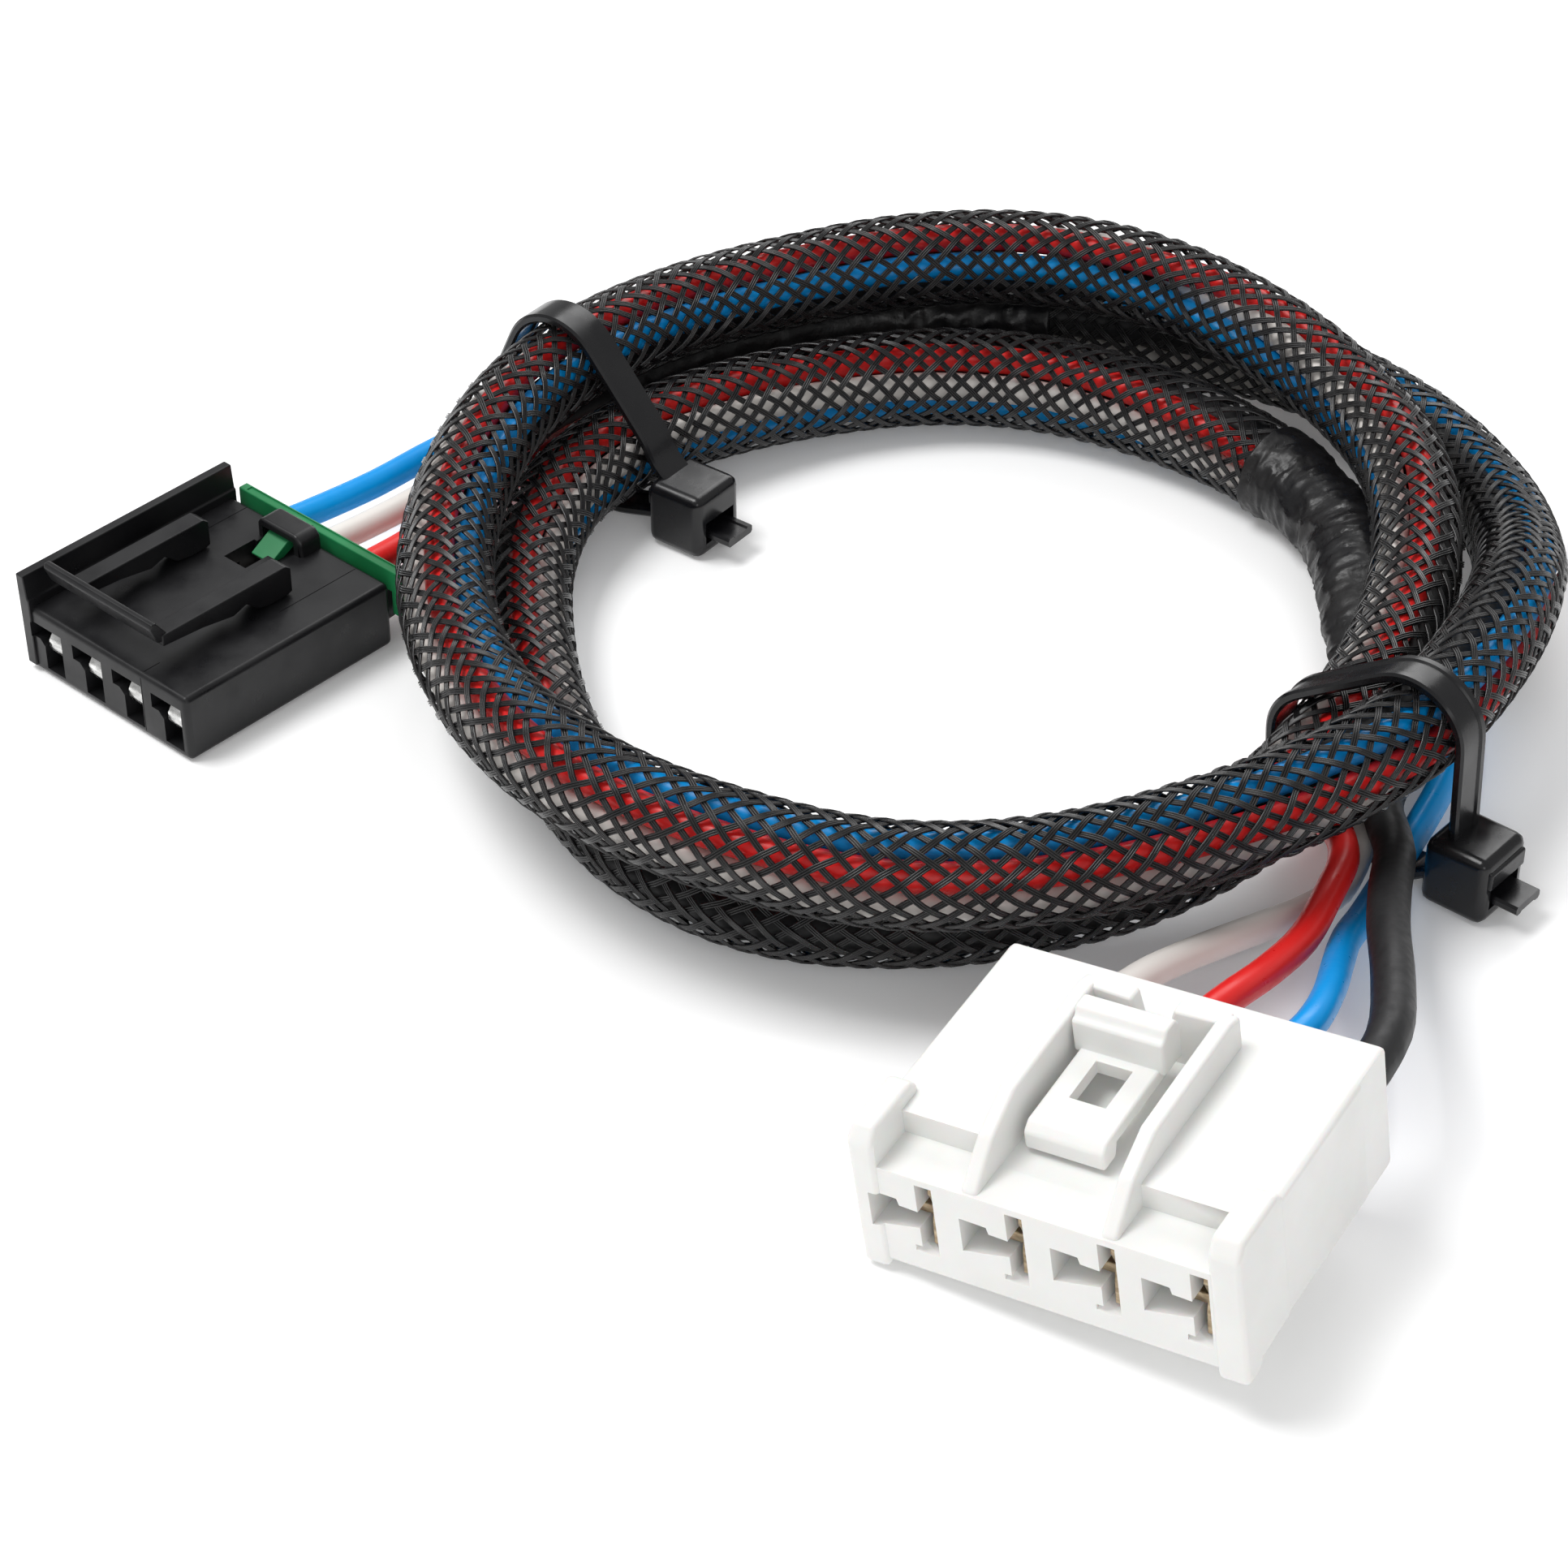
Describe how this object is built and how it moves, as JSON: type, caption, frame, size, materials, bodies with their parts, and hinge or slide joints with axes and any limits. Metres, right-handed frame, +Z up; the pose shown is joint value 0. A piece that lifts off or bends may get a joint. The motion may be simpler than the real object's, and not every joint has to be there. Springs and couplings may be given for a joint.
{
  "type": "trailer brake wiring adapter",
  "caption": "Coiled braided wiring adapter with a flat black connector and a larger white connector, each with a press latch, held by cable ties.",
  "frame": {"origin": "on the floor under the middle of the coiled harness's box", "axes": "+Z up, +Y from the white connector across the coil, +X away from the black connector's side"},
  "size_m": [0.1824, 0.1984, 0.0268],
  "materials": {
    "braid": "open braid of black polyester monofilament, slight sheen, wires show through",
    "tape": "black vinyl tape, satin, creased",
    "blue_insulation": "smooth satin vinyl insulation",
    "white_insulation": "smooth satin vinyl insulation",
    "red_insulation": "smooth satin vinyl insulation",
    "black_insulation": "dull dark grey vinyl insulation",
    "black_nylon": "moulded satin black",
    "green_nylon": "moulded satin green",
    "white_nylon": "moulded natural white, slightly translucent",
    "tin_plate": "bright tin plate",
    "tinned_brass": "tinned brass with warm tone",
    "tie_nylon": "smooth black nylon"
  },
  "bodies": {
    "harness": {"braided_sleeve": "braid", "tape_wrap_black_end": "tape", "bundle_wrap_black_end": "tape", "tape_wrap_white_end": "tape", "bundle_wrap_white_end": "tape", "wire_blue": "blue_insulation", "wire_white": "white_insulation", "wire_red": "red_insulation", "wire_black": "black_insulation", "black_housing": "black_nylon", "black_terminal_1": "tin_plate", "black_terminal_2": "tin_plate", "black_terminal_3": "tin_plate", "black_terminal_4": "tin_plate", "white_housing": "white_nylon", "white_terminal_1": "tinned_brass", "white_terminal_2": "tinned_brass", "white_terminal_3": "tinned_brass", "white_terminal_4": "tinned_brass", "cable_tie_1": "tie_nylon", "cable_tie_2": "tie_nylon"},
    "black_latch": {"black_latch": "black_nylon"},
    "green_lock": {"green_lock": "green_nylon"},
    "white_latch": {"white_latch": "white_nylon"}
  },
  "joints": [
    {"name": "black_latch_press", "type": "hinge", "parent": "harness", "child": "black_latch", "pos_m": [-0.06709, 0.03029, 0.0095], "axis": [0.7396, -0.673, 0], "range_deg": [0, 5.5], "stiffness_Nm_per_rad": 1.2},
    {"name": "green_lock_slide", "type": "slide", "parent": "harness", "child": "green_lock", "axis": [0.673, 0.7396, 0], "range_m": [0, 0.003]},
    {"name": "white_latch_press", "type": "hinge", "parent": "harness", "child": "white_latch", "pos_m": [0.026, -0.07915, 0.01701], "axis": [-0.8444, 0.5235, -0.1139], "range_deg": [0, 6], "stiffness_Nm_per_rad": 1.2}
  ]
}
